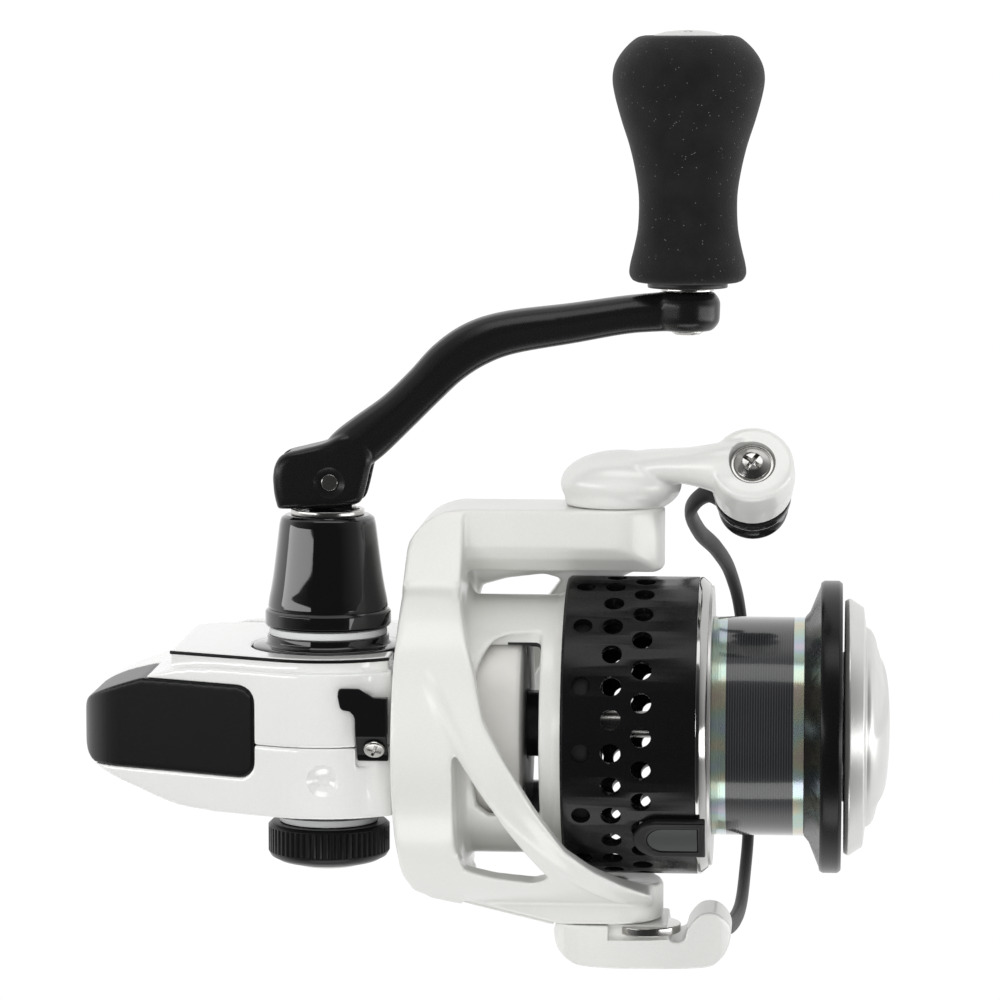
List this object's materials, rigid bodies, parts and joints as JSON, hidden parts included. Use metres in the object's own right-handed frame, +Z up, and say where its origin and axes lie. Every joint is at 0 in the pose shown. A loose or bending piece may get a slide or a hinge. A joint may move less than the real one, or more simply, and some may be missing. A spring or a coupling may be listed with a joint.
{
  "type": "spinning reel",
  "caption": "Front-drag spinning reel with folding handle, bail, perforated spool skirt and a foot that clamps in a rod's reel seat.",
  "frame": {"origin": "centre of the foot's seat face, where it meets the rod", "axes": "+X towards the spool and the rod tip, +Z up to the rod, handle on the -Y side"},
  "size_m": [0.121, 0.1408, 0.0889],
  "materials": {
    "body_paint": "pearl white paint over graphite composite",
    "rotor_paint": "pearl white paint over graphite composite",
    "bail_paint": "pearl white paint",
    "cover_black": "satin black",
    "gloss_black": "gloss black",
    "arm_black": "black anodised",
    "cap_black": "fine knurled black",
    "seal_grey": "pale grey seal",
    "boss_silver": "metallic silver paint",
    "steel": "bright steel",
    "gear_metal": "die cast gear metal",
    "brass": "machined brass",
    "foam": "dense black foam",
    "knob_black": "black",
    "satin_silver": "satin silver",
    "skirt_black": "gloss black anodised",
    "polished": "polished chamfer",
    "label": "foil sleeve",
    "clip_black": "gloss black",
    "clip_grey": "dark grey",
    "felt": "oiled felt and steel",
    "wire_grey": "dark nickel",
    "roller_dark": "dark plated"
  },
  "bodies": {
    "frame": {"body_housing": "body_paint", "side_cover": "body_paint", "rear_cover": "cover_black", "cover_screws": "steel", "handle_gasket": "cover_black", "handle_collar": "gloss_black", "handle_seal": "seal_grey", "cap_collar": "gloss_black", "cap_seal": "seal_grey", "front_boss": "boss_silver", "boss_screws": "steel", "one_way_clutch": "steel", "drive_bearings": "steel", "pinion_bearing": "steel", "guide_rod": "steel", "lever_screw": "steel"},
    "lever": {"anti_reverse_lever": "cover_black"},
    "drive": {"drive_gear": "gear_metal", "drive_shaft": "steel", "handle_shaft": "steel", "handle_base": "gloss_black", "fold_washer": "steel", "fold_pin": "steel", "handle_cap": "cap_black", "cap_disc": "satin_silver"},
    "oscillation": {"oscillation_gear": "gear_metal"},
    "arm": {"handle_arm": "arm_black", "knob_shaft": "steel"},
    "knob": {"knob_grip": "foam", "knob_core": "knob_black", "knob_cap": "satin_silver", "knob_bearings": "steel"},
    "shaft": {"main_shaft": "steel", "slider_block": "brass", "slider_screw": "steel"},
    "spool": {"spool_body": "satin_silver", "spool_skirt": "skirt_black", "skirt_ring": "polished", "spool_label": "label", "spool_lip": "skirt_black", "line_clip": "clip_black", "clip_insert": "clip_grey", "drag_washers": "felt", "drag_clip": "steel"},
    "drag": {"drag_knob": "satin_silver", "drag_cap": "satin_silver", "drag_spring": "steel"},
    "rotor": {"rotor_frame": "rotor_paint", "pinion_gear": "brass", "rotor_nut": "steel", "nut_retainer": "steel", "bail_spring": "steel", "arm_cover": "rotor_paint", "pivot_screws": "steel"},
    "bail": {"bail_arm": "bail_paint", "bail_holder": "bail_paint", "bail_wire": "wire_grey", "roller_screw": "steel", "kick_lever": "steel"},
    "roller": {"line_roller": "roller_dark"}
  },
  "joints": [
    {"name": "drive_spin", "type": "hinge", "parent": "frame", "child": "drive", "pos_m": [-0.0032, 0, -0.069], "axis": [0, 1, 0], "continuous": true},
    {"name": "rotor_spin", "type": "hinge", "parent": "frame", "child": "rotor", "pos_m": [0, 0, -0.062], "axis": [1, 0, 0], "continuous": true},
    {"name": "oscillation_spin", "type": "hinge", "parent": "frame", "child": "oscillation", "pos_m": [-0.0186, 0, -0.062], "axis": [0, 1, 0], "continuous": true},
    {"name": "spool_slide", "type": "slide", "parent": "frame", "child": "shaft", "axis": [1, 0, 0], "range_m": [-0.009, 0.005]},
    {"name": "drag_slip", "type": "hinge", "parent": "shaft", "child": "spool", "pos_m": [0, 0, -0.062], "axis": [1, 0, 0], "continuous": true},
    {"name": "drag_turn", "type": "hinge", "parent": "shaft", "child": "drag", "pos_m": [0, 0, -0.062], "axis": [1, 0, 0], "continuous": true},
    {"name": "bail_open", "type": "hinge", "parent": "rotor", "child": "bail", "pos_m": [0.0393, 0, -0.062], "axis": [0, 1, 0], "range_deg": [0, 105]},
    {"name": "roller_spin", "type": "hinge", "parent": "bail", "child": "roller", "pos_m": [0.0599, -0.04005, -0.071], "axis": [0, 0.5446, 0.8387], "continuous": true},
    {"name": "handle_fold", "type": "hinge", "parent": "drive", "child": "arm", "pos_m": [-0.0025, -0.0374, -0.069], "axis": [0, 0, 1], "range_deg": [0, 13]},
    {"name": "knob_spin", "type": "hinge", "parent": "arm", "child": "knob", "pos_m": [0.0502, -0.08, -0.069], "axis": [0, 1, 0], "continuous": true},
    {"name": "lever_swing", "type": "hinge", "parent": "frame", "child": "lever", "pos_m": [0.0053, -0.0001, -0.086], "axis": [0, 0, 1], "range_deg": [-18, 0]}
  ],
  "couplings": [
    {"joint": "rotor_spin", "follows": "drive_spin", "ratio": -5},
    {"joint": "oscillation_spin", "follows": "drive_spin", "ratio": -0.5}
  ]
}
